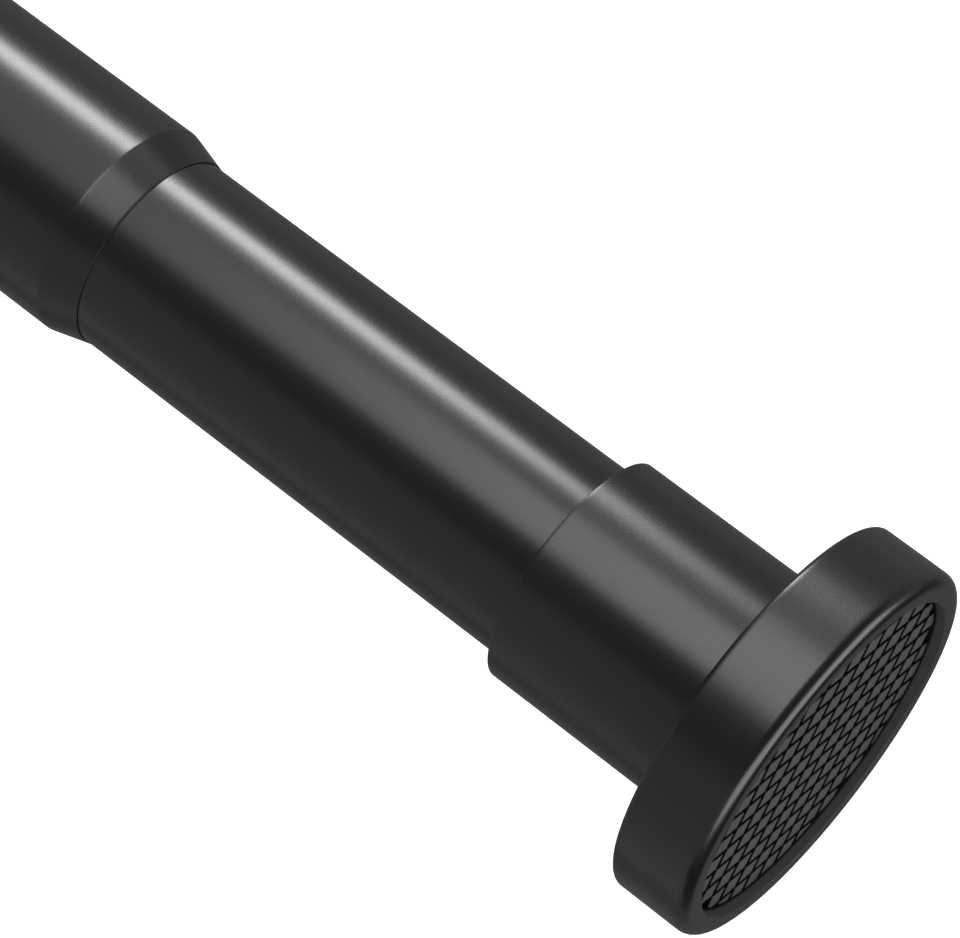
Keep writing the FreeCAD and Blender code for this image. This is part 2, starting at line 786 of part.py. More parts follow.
def moving_tube_plug():
    body = turned("moving_tube_plug", [
        (None, "pilot_r"),
        (None, "end_plug_r"),
        ("plug_length", "end_plug_r"),
        ("plug_length", "end_plug_bore_r"),
        ("plug_face", "end_plug_bore_r"),
        ("plug_face", "boss_r"),
        ("boss_end", "boss_r"),
        ("boss_end", None),
        ("pilot_depth", None),
        ("pilot_depth", "pilot_r"),
    ])
    sketch = new_sketch(body, "XZ_Plane", "rib_outline")
    x0, x1 = size("rib_from"), size("rib_length")
    r0, r1 = size("rib_from_r"), size("rib_to_r")
    points = [FreeCAD.Vector(x, r, 0) for x, r in ((x0, r0), (x1, r0), (x1, r1), (x0, r1))]
    for i in range(4):
        sketch.addGeometry(Part.LineSegment(points[i], points[(i + 1) % 4]))
    for i in range(4):
        sketch.addConstraint(Sketcher.Constraint("Coincident", i, 2, (i + 1) % 4, 1))
    sketch.addConstraint(Sketcher.Constraint("Horizontal", 0))
    sketch.addConstraint(Sketcher.Constraint("Horizontal", 2))
    sketch.addConstraint(Sketcher.Constraint("Vertical", 1))
    sketch.addConstraint(Sketcher.Constraint("Vertical", 3))
    bind(sketch, Sketcher.Constraint("DistanceX", -1, 1, 0, 1, x0), "rib_from")
    bind(sketch, Sketcher.Constraint("DistanceX", -1, 1, 1, 1, x1), "rib_length")
    bind(sketch, Sketcher.Constraint("DistanceY", -1, 1, 0, 1, r0), "rib_from_r")
    bind(sketch, Sketcher.Constraint("DistanceY", -1, 1, 2, 1, r1), "rib_to_r")
    rib = body.newObject("PartDesign::Pad", "plug_rib")
    rib.Profile = sketch
    rib.SideType = "Symmetric"
    rib.setExpression("Length", "Dims.rib_thick")
    doc.recompute()
    ribs = body.newObject("PartDesign::PolarPattern", "plug_ribs")
    ribs.Originals = [rib]
    ribs.Axis = (sketch, ["H_Axis"])
    ribs.Angle = 360
    ribs.Occurrences = int(size("rib_count"))
    body.Tip = ribs
    doc.recompute()
    return place(body, "moving_tube_end_at", about_z)


def build():
    return [
        outer_tube(),
        end_cap("fixed_end_cap", "fixed_collar_r", "fixed_socket_r"),
        grip_pad("fixed_grip_pad", "recess_depth", about_z),
        cap_screw("fixed_cap_screw", "head_at"),
        anchor_plug(),
        cross_pin("anchor_pin", "anchor_pin_length", "anchor_pin_at"),
        guide_rod(),
        washer("guide_rod_washer", "rod_washer_r", "stub_hole_r", "rod_washer_thick", "washer_at"),
        hex_nut("guide_rod_nut", "rod_nut_corner_r", "stub_hole_r", "rod_nut_height", "rod_nut_at"),
        compression_spring(),
        plunger(),
        spindle_collar(),
        cross_pin("spindle_pin", "spindle_pin_length", "spindle_pin_at"),
        threaded_spindle(),
        washer("stop_washer", "stop_washer_r", "spindle_hole_r", "stop_washer_thick", "stop_washer_at"),
        hex_nut("stop_nut", "spindle_nut_corner_r", "spindle_hole_r", "stop_nut_height", "stop_nut_at"),
        guide_bush(),
        bush_clip(),
        nut_plug(),
        plug_rivet("left_plug_rivet", -1),
        plug_rivet("right_plug_rivet", 1),
        hex_nut("spindle_nut", "spindle_nut_corner_r", "nut_bore_r", "spindle_nut_height", "spindle_nut_at"),
        inner_tube(),
        moving_tube_plug(),
        end_cap("moving_end_cap", "moving_collar_r", "moving_socket_r", "moving_face_at", about_z),
        cap_screw("moving_cap_screw", "moving_head_at", about_z),
        grip_pad("moving_grip_pad", "moving_pad_at"),
    ]


def check(pieces):
    for feature in doc.Objects:
        if "Invalid" in feature.State or "Error" in feature.State:
            raise RuntimeError(feature.Name + " did not build: " + str(feature.State))
    for piece in pieces:
        shape = piece.Shape
        if shape.isNull() or not shape.isValid() or shape.Volume <= 0:
            raise RuntimeError(piece.Label + " has no valid solid")
        print(piece.Label, "solids", len(shape.Solids), "volume", round(shape.Volume, 1))


fill_sheet()
pieces = build()
doc.recompute()
check(pieces)
os.makedirs("parts", exist_ok=True)
for piece in pieces:
    piece.Shape.exportStep("parts/" + piece.Label + ".step")
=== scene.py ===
import math
import bmesh
import bpy
from mathutils import Matrix, Vector


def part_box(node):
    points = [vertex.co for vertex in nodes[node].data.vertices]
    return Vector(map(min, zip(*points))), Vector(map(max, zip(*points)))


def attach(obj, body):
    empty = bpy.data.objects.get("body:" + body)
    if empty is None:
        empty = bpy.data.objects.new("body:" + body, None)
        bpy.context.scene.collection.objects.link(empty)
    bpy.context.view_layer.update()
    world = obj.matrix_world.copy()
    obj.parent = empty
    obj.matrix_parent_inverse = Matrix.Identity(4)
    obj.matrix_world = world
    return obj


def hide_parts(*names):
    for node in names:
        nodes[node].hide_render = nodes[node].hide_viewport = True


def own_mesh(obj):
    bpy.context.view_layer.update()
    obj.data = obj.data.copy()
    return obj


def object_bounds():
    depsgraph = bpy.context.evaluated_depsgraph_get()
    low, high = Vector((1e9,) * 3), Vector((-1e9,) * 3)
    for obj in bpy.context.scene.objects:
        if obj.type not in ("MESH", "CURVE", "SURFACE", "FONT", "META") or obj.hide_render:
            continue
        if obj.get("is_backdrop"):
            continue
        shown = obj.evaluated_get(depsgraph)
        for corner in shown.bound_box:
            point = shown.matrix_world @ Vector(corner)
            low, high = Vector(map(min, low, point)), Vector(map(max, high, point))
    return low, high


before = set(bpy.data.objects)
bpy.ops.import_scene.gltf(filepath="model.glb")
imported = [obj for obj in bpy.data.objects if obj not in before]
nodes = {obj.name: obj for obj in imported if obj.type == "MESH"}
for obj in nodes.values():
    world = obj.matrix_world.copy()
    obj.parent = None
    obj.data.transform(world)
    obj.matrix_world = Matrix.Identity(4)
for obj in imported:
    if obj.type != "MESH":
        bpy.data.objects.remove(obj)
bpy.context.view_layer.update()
mm = 0.001
axisX = Vector((1, 0, 0))
print("frame loaded:", len(nodes), "CAD nodes")


# ways of making a mesh, in millimetres along the rod and out from its axis

def newPiece(name, bm):
    # finishes a bmesh as an object at the origin, in metres
    bmesh.ops.remove_doubles(bm, verts=bm.verts[:], dist=0.002)
    bmesh.ops.recalc_face_normals(bm, faces=bm.faces[:])
    bmesh.ops.scale(bm, vec=(mm, mm, mm), verts=bm.verts[:])
    mesh = bpy.data.meshes.new(name)
    bm.to_mesh(mesh)
    bm.free()
    piece = bpy.data.objects.new(name, mesh)
    bpy.context.scene.collection.objects.link(piece)
    return piece


def onlyVerts(items):
    return [item for item in items if isinstance(item, bmesh.types.BMVert)]


def onlyEdges(items):
    return [item for item in items if isinstance(item, bmesh.types.BMEdge)]


def rotated(bm, verts, degrees, axis):
    bmesh.ops.rotate(bm, cent=(0, 0, 0), matrix=Matrix.Rotation(math.radians(degrees), 3, axis), verts=verts)


def slid(bm, verts, along):
    bmesh.ops.translate(bm, vec=(along, 0, 0), verts=verts)


def heldStraight(bm, reach=0.3):
    # a point near both ends of each line longer than three reaches, so that the rounds' shading stays
    # beside them
    for edge in [edge for edge in bm.edges if edge.calc_length() > reach * 3]:
        start, end = edge.verts
        share = reach / edge.calc_length()
        point = bmesh.utils.edge_split(edge, start, share)[1]
        rest = [other for other in point.link_edges if end in other.verts][0]
        bmesh.utils.edge_split(rest, end, share / (1 - share))


def outlineSpun(outline, rounds, steps, segments=5):
    # outline is a closed list of (along, radius), and rounds gives some corners a radius
    bm = bmesh.new()
    corners = [bm.verts.new((along, 0, radius)) for along, radius in outline]
    for i, corner in enumerate(corners):
        bm.edges.new((corner, corners[(i + 1) % len(corners)]))
    for i, radius in rounds.items():
        bmesh.ops.bevel(bm, geom=[corners[i]], offset=radius, offset_type="OFFSET", segments=segments,
                        profile=0.5, affect="VERTICES", material=-1)
    heldStraight(bm)
    bmesh.ops.spin(bm, geom=bm.verts[:] + bm.edges[:], cent=(0, 0, 0), axis=axisX, dvec=(0, 0, 0),
                   angle=math.tau, steps=steps, use_merge=True, use_duplicate=False)
    return bm


def ringAt(bm, along, radius, segments):
    # a circle round the rod's axis
    made = bmesh.ops.create_circle(bm, cap_ends=False, radius=radius, segments=segments)
    rotated(bm, made["verts"], 90, "Y")
    slid(bm, made["verts"], along)
    return list({edge for vert in made["verts"] for edge in vert.link_edges})


def vertsOf(edges):
    return list({vert for edge in edges for vert in edge.verts})


def nextRing(bm, edges, along, radiusAt):
    # carries a ring on to another place, with a radius that may change round the axis
    made = onlyEdges(bmesh.ops.extrude_edge_only(bm, edges=edges)["geom"])
    ring = [edge for edge in made if len(edge.link_faces) == 1]
    for vert in vertsOf(ring):
        angle = math.atan2(vert.co.z, vert.co.y)
        radius = radiusAt(angle)
        vert.co = (along, radius * math.cos(angle), radius * math.sin(angle))
    return ring


def closed(bm, edges):
    bmesh.ops.edgeloop_fill(bm, edges=edges)


def withBoolean(piece, cutterMesh, operation, crossing=False):
    # joins or cuts with a helper mesh, whose own parts may cross, and leaves no modifier behind
    cutter = newPiece("cutter", cutterMesh)
    modifier = piece.modifiers.new("shape", "BOOLEAN")
    modifier.operation = operation
    modifier.solver = "EXACT"
    modifier.use_self = crossing
    modifier.object = cutter
    bpy.context.view_layer.update()
    depsgraph = bpy.context.evaluated_depsgraph_get()
    result = bpy.data.meshes.new_from_object(piece.evaluated_get(depsgraph))
    piece.modifiers.clear()
    old = piece.data
    piece.data = result
    bpy.data.meshes.remove(old)
    cutterData = cutter.data
    bpy.data.objects.remove(cutter)
    bpy.data.meshes.remove(cutterData)


def crossRod(along, radius, length, segments=40):
    # a round bar across the rod, along Y
    bm = bmesh.new()
    bmesh.ops.create_cone(bm, cap_ends=True, segments=segments, radius1=radius, radius2=radius, depth=length)
    rotated(bm, bm.verts[:], 90, "X")
    slid(bm, bm.verts[:], along)
    return bm


def barAlong(start, end, radius, segments):
    # a round bar on the rod's axis
    bm = bmesh.new()
    bmesh.ops.create_cone(bm, cap_ends=True, segments=segments, radius1=radius, radius2=radius,
                          depth=end - start)
    rotated(bm, bm.verts[:], 90, "Y")
    slid(bm, bm.verts[:], (start + end) / 2)
    return bm


def spanOf(node):
    # where a CAD node starts and ends along the rod, in millimetres
    low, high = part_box(node)
    return low.x / mm, high.x / mm


def dressed(piece, node, body, material, sharpAbove):
    # the finished piece takes its CAD node's place, with smooth faces and an edge kept sharp where it
    # turns by more than this many degrees
    piece.data.polygons.foreach_set("use_smooth", [True] * len(piece.data.polygons))
    piece.data.set_sharp_from_angle(angle=math.radians(sharpAbove))
    piece.data.materials.clear()
    piece.data.materials.append(material)
    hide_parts(node)
    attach(piece, body)
    print("  made", piece.name, len(piece.data.polygons), "faces")


# shader helpers

def addSocket(group, name, kind, inOut, value=None):
    socket = group.interface.new_socket(name=name, in_out=inOut, socket_type=kind)
    if value is not None:
        socket.default_value = value


def bareTree(owner):
    # the emptied shader tree of a material or world, and its way to link
    owner.use_nodes = True
    owner.node_tree.nodes.clear()
    return owner.node_tree.nodes, owner.node_tree.links.new


def buildCoatGroup():
    # slow shade variation with a fine grain, for anything moulded, coated or plated
    grainShare = 0.4
    shadeLow, shadeHigh = 0.3, 0.7
    group = bpy.data.node_groups.new("coatGrain", "ShaderNodeTree")
    addSocket(group, "Vector", "NodeSocketVector", "INPUT")
    addSocket(group, "Patch Scale", "NodeSocketFloat", "INPUT", 40.0)
    addSocket(group, "Grain Scale", "NodeSocketFloat", "INPUT", 1500.0)
    addSocket(group, "Deep", "NodeSocketColor", "INPUT", (0.01, 0.01, 0.01, 1))
    addSocket(group, "Pale", "NodeSocketColor", "INPUT", (0.02, 0.02, 0.02, 1))
    addSocket(group, "Smoothest", "NodeSocketFloat", "INPUT", 0.3)
    addSocket(group, "Roughest", "NodeSocketFloat", "INPUT", 0.4)
    addSocket(group, "Color", "NodeSocketColor", "OUTPUT")
    addSocket(group, "Roughness", "NodeSocketFloat", "OUTPUT")
    addSocket(group, "Height", "NodeSocketFloat", "OUTPUT")
    tree, link = group.nodes, group.links.new
    entry = tree.new("NodeGroupInput")
    result = tree.new("NodeGroupOutput")
    patches = tree.new("ShaderNodeTexNoise")
    patches.inputs["Detail"].default_value = 3.0
    grain = tree.new("ShaderNodeTexNoise")
    grain.inputs["Detail"].default_value = 4.0
    link(entry.outputs["Vector"], patches.inputs["Vector"])
    link(entry.outputs["Patch Scale"], patches.inputs["Scale"])
    link(entry.outputs["Vector"], grain.inputs["Vector"])
    link(entry.outputs["Grain Scale"], grain.inputs["Scale"])
    both = tree.new("ShaderNodeMath")
    both.operation = "MULTIPLY_ADD"
    both.inputs[1].default_value = grainShare
    spread = tree.new("ShaderNodeMath")
    spread.operation = "MULTIPLY"
    spread.inputs[1].default_value = 1 - grainShare
    link(patches.outputs["Fac"], spread.inputs[0])
    link(grain.outputs["Fac"], both.inputs[0])
    link(spread.outputs[0], both.inputs[2])
    shade = tree.new("ShaderNodeMix")
    shade.data_type = "RGBA"
    link(both.outputs[0], shade.inputs["Factor"])
    link(entry.outputs["Deep"], shade.inputs["A"])
    link(entry.outputs["Pale"], shade.inputs["B"])
    rough = tree.new("ShaderNodeMapRange")
    rough.inputs["From Min"].default_value = shadeLow
    rough.inputs["From Max"].default_value = shadeHigh
    link(both.outputs[0], rough.inputs["Value"])
    link(entry.outputs["Smoothest"], rough.inputs["To Min"])
    link(entry.outputs["Roughest"], rough.inputs["To Max"])
    link(shade.outputs["Result"], result.inputs["Color"])
    link(rough.outputs["Result"], result.inputs["Roughness"])
    link(grain.outputs["Fac"], result.inputs["Height"])
    return group


def buildTurningGroup():
    # fine rings round the rod's axis, as a lathe or a die leaves them
    group = bpy.data.node_groups.new("turningMarks", "ShaderNodeTree")
    addSocket(group, "Vector", "NodeSocketVector", "INPUT")
    addSocket(group, "Marks", "NodeSocketFloat", "INPUT", 9000.0)
    addSocket(group, "Height", "NodeSocketFloat", "OUTPUT")
    tree, link = group.nodes, group.links.new
    entry = tree.new("NodeGroupInput")
    result = tree.new("NodeGroupOutput")
    split = tree.new("ShaderNodeSeparateXYZ")
    joined = tree.new("ShaderNodeCombineXYZ")
    link(entry.outputs["Vector"], split.inputs[0])
    link(split.outputs["X"], joined.inputs["X"])
    marks = tree.new("ShaderNodeTexNoise")
    marks.inputs["Detail"].default_value = 2.0
    link(joined.outputs[0], marks.inputs["Vector"])
    link(entry.outputs["Marks"], marks.inputs["Scale"])
    link(marks.outputs["Fac"], result.inputs["Height"])
    return group


coatGrain = buildCoatGroup()
turningMarks = buildTurningGroup()
bumpDepth = 0.02


def newMaterial(name, look):
    # look holds the material's own values, and turning adds lathe rings
    material = bpy.data.materials.new(name)
    material.use_nodes = True
    tree, link = material.node_tree.nodes, material.node_tree.links.new
    shader = tree["Principled BSDF"]
    place = tree.new("ShaderNodeTexCoord")
    grain = tree.new("ShaderNodeGroup")
    grain.node_tree = coatGrain
    link(place.outputs["Object"], grain.inputs["Vector"])
    settings = {"Patch Scale": look["patch"], "Grain Scale": look["grain"], "Deep": (*look["deep"], 1),
                "Pale": (*look["pale"], 1), "Smoothest": look["rough"][0], "Roughest": look["rough"][1]}
    for socket, value in settings.items():
        grain.inputs[socket].default_value = value
    link(grain.outputs["Color"], shader.inputs["Base Color"])
    link(grain.outputs["Roughness"], shader.inputs["Roughness"])
    bump = tree.new("ShaderNodeBump")
    bump.inputs["Strength"].default_value = look["bump"]
    bump.inputs["Distance"].default_value = bumpDepth * mm
    if "turning" in look:
        rings = tree.new("ShaderNodeGroup")
        rings.node_tree = turningMarks
        rings.inputs["Marks"].default_value = look["turning"]
        link(place.outputs["Object"], rings.inputs["Vector"])
        link(rings.outputs["Height"], bump.inputs["Height"])
    else:
        link(grain.outputs["Height"], bump.inputs["Height"])
    link(bump.outputs["Normal"], shader.inputs["Normal"])
    shader.inputs["Metallic"].default_value = look.get("metallic", 0.0)
    shader.inputs["Specular IOR Level"].default_value = look.get("specular", 0.5)
    if "subsurface" in look:
        shader.inputs["Subsurface Weight"].default_value = look["subsurface"]
        shader.inputs["Subsurface Scale"].default_value = look["subsurfaceDepth"] * mm
    return material


looks = {
    "tubeCoat": {"patch": 30, "grain": 2600, "deep": (0.0062, 0.0062, 0.0063), "pale": (0.0078, 0.0078, 0.0079),
                 "rough": (0.255, 0.28), "bump": 0.02},
    "capPlastic": {"patch": 45, "grain": 3400, "deep": (0.0062, 0.0062, 0.0063), "pale": (0.0080, 0.0080, 0.0081),
                   "rough": (0.26, 0.29), "bump": 0.02},
    # the recess's pale grey is painted light on the recess wall, not the plastic's own colour
    "recessMattPaintedLight": {"patch": 60, "grain": 3400, "deep": (0.070, 0.070, 0.070), "pale": (0.085, 0.085, 0.085),
                   "rough": (0.50, 0.60), "bump": 0.05, "specular": 0.2},
    "padRubber": {"patch": 120, "grain": 5200, "deep": (0.088, 0.088, 0.088), "pale": (0.125, 0.125, 0.125),
                  "rough": (0.55, 0.66), "bump": 0.25, "specular": 0.06},
    "zincSteel": {"patch": 60, "grain": 2400, "deep": (0.50, 0.51, 0.52), "pale": (0.62, 0.63, 0.64),
                  "rough": (0.24, 0.36), "bump": 0.12, "metallic": 1.0, "turning": 9000},
    "springWire": {"patch": 80, "grain": 3000, "deep": (0.24, 0.24, 0.25), "pale": (0.34, 0.34, 0.35),
                   "rough": (0.28, 0.42), "bump": 0.10, "metallic": 1.0},
    "plugNylon": {"patch": 70, "grain": 1900, "deep": (0.014, 0.014, 0.015), "pale": (0.030, 0.030, 0.032),
                  "rough": (0.45, 0.60), "bump": 0.30},
    "bushNylon": {"patch": 90, "grain": 1600, "deep": (0.66, 0.64, 0.58), "pale": (0.76, 0.74, 0.68),
                  "rough": (0.35, 0.45), "bump": 0.15, "subsurface": 0.15, "subsurfaceDepth": 1.5},
}
materials = {name: newMaterial(name, look) for name, look in looks.items()}


def paintShadeWithDepth(material, shade):
    # painted shade: the colour darkens with depth behind the wall faces, standing in for the little light that
    # reaches the pad's grooves and the foot of the recess wall, at both ends of the rod alike
    tree, link = material.node_tree.nodes, material.node_tree.links.new
    shader = tree["Principled BSDF"]
    colour = shader.inputs["Base Color"].links[0].from_socket
    place = tree.new("ShaderNodeTexCoord")
    split = tree.new("ShaderNodeSeparateXYZ")
    link(place.outputs["Object"], split.inputs[0])
    middle = tree.new("ShaderNodeMath")
    middle.operation = "SUBTRACT"
    middle.inputs[1].default_value = rodMiddle * mm
    link(split.outputs["X"], middle.inputs[0])
    away = tree.new("ShaderNodeMath")
    away.operation = "ABSOLUTE"
    link(middle.outputs[0], away.inputs[0])
    depth = tree.new("ShaderNodeMapRange")
    wallFace = abs(wallFaces["moving"] - wallFaces["fixed"]) / 2
    depth.inputs["From Min"].default_value = (wallFace - (padDepth + shade["deep"])) * mm
    depth.inputs["From Max"].default_value = (wallFace - (padDepth + shade["from"])) * mm
    depth.inputs["To Min"].default_value = shade["darkest"]
    depth.inputs["To Max"].default_value = 1.0
    link(away.outputs[0], depth.inputs["Value"])
    shaded = tree.new("ShaderNodeVectorMath")
    shaded.operation = "SCALE"
    link(colour, shaded.inputs[0])
    link(depth.outputs["Result"], shaded.inputs["Scale"])
    link(shaded.outputs["Vector"], shader.inputs["Base Color"])


print("materials:", ", ".join(materials))


# the two tubes

outerTube = {"radius": 14.0, "wall": 1.0, "neck": 4.85, "neckBore": 3.0, "tipRadius": 12.64, "tipBore": 12.54,
             "shoulder": 0.12, "tipEdge": 0.03, "backEdge": 0.15, "pinAt": 29.0, "pinRadius": 1.55, "steps": 224}
innerTube = {"radius": 12.5, "wall": 1.0, "edge": 0.1, "rivetAt": 5.333, "rivetRadius": 1.45, "steps": 224}


def makeOuterTube(size):
    start, end = spanOf("outer_tube")
    radius, bore = size["radius"], size["radius"] - size["wall"]
    outline = [(start, radius), (end - size["neck"], radius), (end, size["tipRadius"]), (end, size["tipBore"]),
               (end - size["neckBore"], size["tipBore"]), (end - size["neck"], bore), (start, bore)]
    rounds = {0: size["backEdge"], 1: size["shoulder"], 2: size["tipEdge"]}
    tube = newPiece("outerTubeShell", outlineSpun(outline, rounds, size["steps"]))
    withBoolean(tube, crossRod(size["pinAt"], size["pinRadius"], radius * 3), "DIFFERENCE")
    dressed(tube, "outer_tube", "outer", materials["tubeCoat"], 12)


def makeInnerTube(size):
    start, end = spanOf("inner_tube")
    radius, bore = size["radius"], size["radius"] - size["wall"]
    outline = [(start, radius), (end, radius), (end, bore), (start, bore)]
    rounds = {i: size["edge"] for i in range(len(outline))}
    tube = newPiece("innerTubeShell", outlineSpun(outline, rounds, size["steps"], 2))
    withBoolean(tube, crossRod(start + size["rivetAt"], size["rivetRadius"], radius * 3), "DIFFERENCE")
    dressed(tube, "inner_tube", "inner", materials["tubeCoat"], 30)


makeOuterTube(outerTube)
makeInnerTube(innerTube)
print("tubes done")


# the end caps

endCap = {"flange": 24.1, "thick": 10.05, "rim": 1.5, "back": 0.65, "depth": 35.6, "mouth": 0.15, "seat": 8.5,
          "recess": 20.9, "recessDepth": 3.5, "lip": 0.08, "well": 4.25, "wellFloor": 6.1, "hole": 2.15,
          "gap": 0.05, "collarWall": 2.0, "neckRound": 0.12, "socketEdge": 0.15, "floorRound": 0.2,
          "steps": 256}


def makeEndCap(name, node, body, size, tubeRadius, face, inward):
    # face is the wall face's place, and inward is +1 or -1 along the rod
    socket = tubeRadius + size["gap"]
    collar = tubeRadius + size["collarWall"]
    outline = [(0, size["recess"]), (0, size["flange"]), (size["thick"], size["flange"]), (size["thick"], collar),
               (size["depth"], collar), (size["depth"], socket), (size["seat"], socket),
               (size["seat"], size["hole"]), (size["wellFloor"], size["hole"]), (size["wellFloor"], size["well"]),
               (size["recessDepth"], size["well"]), (size["recessDepth"], size["recess"])]
    outline = [(face + inward * along, radius) for along, radius in outline]
    rounds = {0: size["lip"], 1: size["rim"], 2: size["back"], 3: size["neckRound"], 4: size["mouth"],
              5: size["socketEdge"], 10: size["floorRound"], 11: size["floorRound"]}
    cap = newPiece(name, outlineSpun(outline, rounds, size["steps"], 6))
    dressed(cap, node, body, materials["capPlastic"], 40)
    # the recess wall takes a matt copy of the cap's plastic in a far paler grey, as painted light where the lamps
    # hardly reach into the recess
    cap.data.materials.append(materials["recessMattPaintedLight"])
    for polygon in cap.data.polygons:
        depth = (polygon.center.x / mm - face) * inward
        radius = math.hypot(polygon.center.y, polygon.center.z) / mm
        if radius < size["recess"] + size["lip"] / 2 and size["lip"] / 2 < depth < size["wellFloor"]:
            polygon.material_index = 1


wallFaces = {"fixed": spanOf("fixed_end_cap")[0], "moving": spanOf("moving_end_cap")[1]}
rodMiddle = (wallFaces["fixed"] + wallFaces["moving"]) / 2
makeEndCap("fixedCapBody", "fixed_end_cap", "outer", endCap, outerTube["radius"], wallFaces["fixed"], 1)
makeEndCap("movingCapBody", "moving_end_cap", "inner", endCap, innerTube["radius"], wallFaces["moving"], -1)
print("end caps done")


# the grip pads: slanting rows of raised tiles on a rubber disc

gripPad = {"radius": 20.75, "base": 1.6, "tileHeight": 0.6, "side": 2.7, "pitch": 3.19, "rowPitch": 3.19,
           "rowSlant": -22.0, "rankSlant": -119.8, "tileSlant": -25.3, "tileCorner": 92.0, "pattern": 20.6,
           "shift": 0.82, "shiftSlant": -50.5, "taper": 0.87, "tileEdge": 0.06, "sink": 0.3, "discEdge": 0.2,
           "steps": 160}


def acrossFace(length, degrees, outward):
    # a step across the pad, as seen by someone who faces it
    angle = math.radians(degrees)
    return Vector((0, outward * length * math.cos(angle), length * math.sin(angle)))


def tilePlaces(size, outward):
    alongRow = acrossFace(size["pitch"], size["rowSlant"], outward)
    nextRow = acrossFace(size["rowPitch"], size["rankSlant"], outward)
    first = acrossFace(size["shift"], size["shiftSlant"], outward)
    reach = int(size["pattern"] / size["rowPitch"]) + 3
    steps = range(-reach, reach + 1)
    places = [first + alongRow * i + nextRow * j for i in steps for j in steps]
    return [place for place in places if place.length < size["pattern"] + size["side"] / 4]


def tilesMesh(size, back, outward):
    # one bevelled tile is made, then copied to every place
    bm = bmesh.new()
    half = size["side"] / 2
    u = acrossFace(half, size["tileSlant"], outward)
    v = acrossFace(half, size["tileSlant"] - size["tileCorner"], outward)
    foot = back + outward * (size["base"] - size["sink"])
    signs = ((-1, -1), (1, -1), (1, 1), (-1, 1))
    corners = [bm.verts.new(Vector((foot, 0, 0)) + u * a + v * b) for a, b in signs]
    face = bm.faces.new(corners)
    raised = bmesh.ops.extrude_face_region(bm, geom=[face])["geom"]
    top = onlyVerts(raised)
    lift = Vector((outward * (size["tileHeight"] + size["sink"]), 0, 0))
    bmesh.ops.translate(bm, vec=lift, verts=top)
    bmesh.ops.scale(bm, vec=(1, size["taper"], size["taper"]), verts=top)
    rest = {edge for vert in top for edge in vert.link_edges}
    bmesh.ops.bevel(bm, geom=list(rest), offset=size["tileEdge"], segments=2, profile=0.5, affect="EDGES",
                    clamp_overlap=True, material=-1)
    tile = bm.verts[:] + bm.edges[:] + bm.faces[:]
    for place in tilePlaces(size, outward):
        copied = bmesh.ops.duplicate(bm, geom=tile)["geom"]
        bmesh.ops.translate(bm, vec=place, verts=onlyVerts(copied))
    bmesh.ops.delete(bm, geom=onlyVerts(tile), context="VERTS")
    return bm


def makeGripPad(name, node, body, size, back, outward):
    # back is the place of the disc's glued side, and outward is +1 or -1 along the rod. The tiles are cut
    # off by the pattern's round edge, then joined with the disc.
    tiles = newPiece(name, tilesMesh(size, back, outward))
    limit = [back + outward * size["base"] / 2, back + outward * (size["base"] + size["tileHeight"] * 2)]
    withBoolean(tiles, barAlong(min(limit), max(limit), size["pattern"], size["steps"]), "INTERSECT")
    front = back + outward * size["base"]
    radius = size["radius"]
    disc = bmesh.new()
    ring = ringAt(disc, back, radius, size["steps"])
    closed(disc, ring)
    ring = nextRing(disc, ring, front - outward * size["discEdge"], lambda angle: radius)
    ring = nextRing(disc, ring, front, lambda angle: radius - size["discEdge"])
    closed(disc, ring)
    withBoolean(tiles, disc, "UNION")
    dressed(tiles, node, body, materials["padRubber"], 25)


# painted shade in the grooves and at the recess's foot: how deep behind the pad's face it starts, where it is
# full, and how much light is left there
paintedDepthShades = {"padRubber": {"from": 0.01, "deep": 0.08, "darkest": 0.01},
               "recessMattPaintedLight": {"from": -0.25, "deep": -0.1, "darkest": 0.1}}
padDepth = wallFaces["moving"] - spanOf("moving_grip_pad")[1]
for name, shade in paintedDepthShades.items():
    paintShadeWithDepth(materials[name], shade)
makeGripPad("fixedPadTiles", "fixed_grip_pad", "outer", gripPad, spanOf("fixed_grip_pad")[1], -1)
makeGripPad("movingPadTiles", "moving_grip_pad", "inner", gripPad, spanOf("moving_grip_pad")[0], 1)
print("grip pads done")


# the spring: close-wound end turns, ground flat, and open turns between them

coil = {"meanRadius": 9.0, "wire": 1.1, "endTurns": 1.0, "endPitch": 2.35, "openTurns": 8.0, "section": 14,
        "stepsPerTurn": 40, "keep": 0.6}


def makeSpring(size):
    start, end = spanOf("compression_spring")
    bm = bmesh.new()
    made = bmesh.ops.create_circle(bm, cap_ends=False, radius=size["wire"], segments=size["section"])
    rotated(bm, made["verts"], 90, "Y")
    rotated(bm, made["verts"], 90, "Z")
    bmesh.ops.translate(bm, vec=(start, 0, -size["meanRadius"]), verts=made["verts"])
    ring = bm.edges[:]
    closed(bm, ring)
    openLength = end - start - 2 * size["endTurns"] * size["endPitch"]
    stretches = [(size["endTurns"], size["endTurns"] * size["endPitch"]), (size["openTurns"], openLength),
                 (size["endTurns"], size["endTurns"] * size["endPitch"])]
    for turns, length in stretches:
        steps = round(turns * size["stepsPerTurn"])
        geom = vertsOf(ring) + ring
        last = bmesh.ops.spin(bm, geom=geom, cent=(0, 0, 0), axis=axisX, dvec=(length / steps, 0, 0),
                              angle=turns * math.tau, steps=steps, use_duplicate=False)["geom_last"]
        ring = onlyEdges(last)
    closed(bm, ring)
    for along, normal in ((start, -axisX), (end, axisX)):
        geom = bm.verts[:] + bm.edges[:] + bm.faces[:]
        cut = bmesh.ops.bisect_plane(bm, geom=geom, plane_co=(along, 0, 0), plane_no=normal,
                                     clear_outer=True)
        closed(bm, onlyEdges(cut["geom_cut"]))
    spring = newPiece("coilSpring", bm)
    dressed(spring, "compression_spring", "outer", materials["springWire"], 50)
    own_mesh(spring)


makeSpring(coil)
print("spring done")


# threads: a lobed section that turns as it runs along the rod

